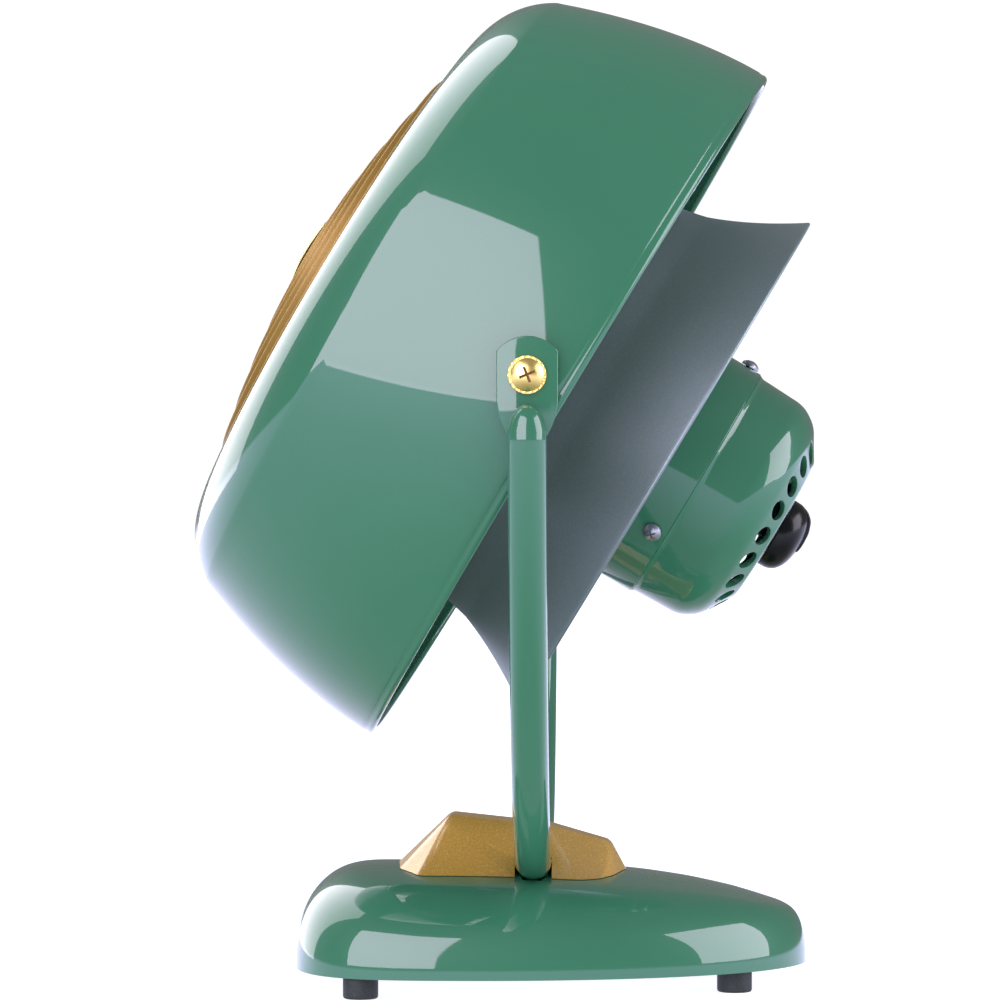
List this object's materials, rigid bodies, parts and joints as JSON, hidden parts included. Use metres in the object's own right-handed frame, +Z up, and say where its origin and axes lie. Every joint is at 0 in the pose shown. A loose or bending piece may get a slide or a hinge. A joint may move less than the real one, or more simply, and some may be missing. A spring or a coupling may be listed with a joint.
{
  "type": "desk fan",
  "caption": "Retro desk fan: green enamel barrel head with domed gold ring grille and flared grey duct, tilting in a tubular U yoke on a cast egg-shaped base, with a rear speed knob.",
  "frame": {"origin": "on the table, under the middle of the fan's bounding box at its rest tilt", "axes": "+Z up; -Y is the side that the fan blows towards; +X is on the right of someone who faces the grille"},
  "size_m": [0.3564, 0.2608, 0.4115],
  "materials": {
    "green_enamel": "high gloss",
    "gold_paint": "fine metallic sparkle under clear coat",
    "grey_satin": "satin, finely speckled",
    "brass": "polished",
    "plated_steel": "zinc plated",
    "core_steel": "laminated steel",
    "cast_iron": "rough casting",
    "copper": "enamelled copper wire",
    "black_plastic": "satin moulded",
    "rubber": "matt"
  },
  "bodies": {
    "stand": {"base_shell": "green_enamel", "base_plate": "plated_steel", "ballast_weight": "cast_iron", "foot_front_right": "rubber", "foot_front_left": "rubber", "foot_rear_right": "rubber", "foot_rear_left": "rubber", "foot_screw_front_right": "plated_steel", "foot_screw_front_left": "plated_steel", "foot_screw_rear_right": "plated_steel", "foot_screw_rear_left": "plated_steel", "yoke": "green_enamel", "yoke_clamp": "plated_steel", "clamp_screw_front": "plated_steel", "clamp_screw_rear": "plated_steel", "saddle_cover": "gold_paint"},
    "head": {"outer_shroud": "green_enamel", "front_grille": "gold_paint", "grille_badge": "brass", "grille_clip_1": "plated_steel", "grille_clip_2": "plated_steel", "grille_clip_3": "plated_steel", "inner_duct": "grey_satin", "duct_bracket_1": "plated_steel", "duct_bracket_2": "plated_steel", "duct_bracket_3": "plated_steel", "motor_spider": "grey_satin", "rear_guard": "grey_satin", "motor_front_cover": "green_enamel", "motor_rear_cover": "green_enamel", "housing_screw_1": "plated_steel", "housing_screw_2": "plated_steel", "housing_screw_3": "plated_steel", "stator_core": "core_steel", "winding_front": "copper", "winding_rear": "copper", "bearing_front": "brass", "bearing_rear": "brass", "bearing_bridge": "plated_steel", "run_capacitor": "black_plastic", "switch_body": "black_plastic", "switch_nut": "plated_steel", "cord_inlet": "rubber", "pivot_screw_right": "brass", "pivot_screw_left": "brass", "pivot_washer_right": "black_plastic", "pivot_washer_left": "black_plastic", "pivot_nut_right": "plated_steel", "pivot_nut_left": "plated_steel"},
    "rotor": {"motor_shaft": "plated_steel", "rotor_core": "core_steel", "propeller": "black_plastic", "propeller_nut": "plated_steel"},
    "knob": {"speed_knob": "black_plastic", "switch_shaft": "plated_steel"}
  },
  "joints": [
    {"name": "head_tilt", "type": "hinge", "parent": "stand", "child": "head", "pos_m": [0, 0.0136, 0.2505], "axis": [-1, 0, 0], "range_deg": [-46, 58]},
    {"name": "propeller_spin", "type": "hinge", "parent": "head", "child": "rotor", "pos_m": [0, 0.0136, 0.2505], "axis": [0, -0.8563, 0.5165], "continuous": true},
    {"name": "knob_turn", "type": "hinge", "parent": "head", "child": "knob", "pos_m": [0, 0.0136, 0.2505], "axis": [0, -0.8563, 0.5165], "range_deg": [0, 120]}
  ]
}
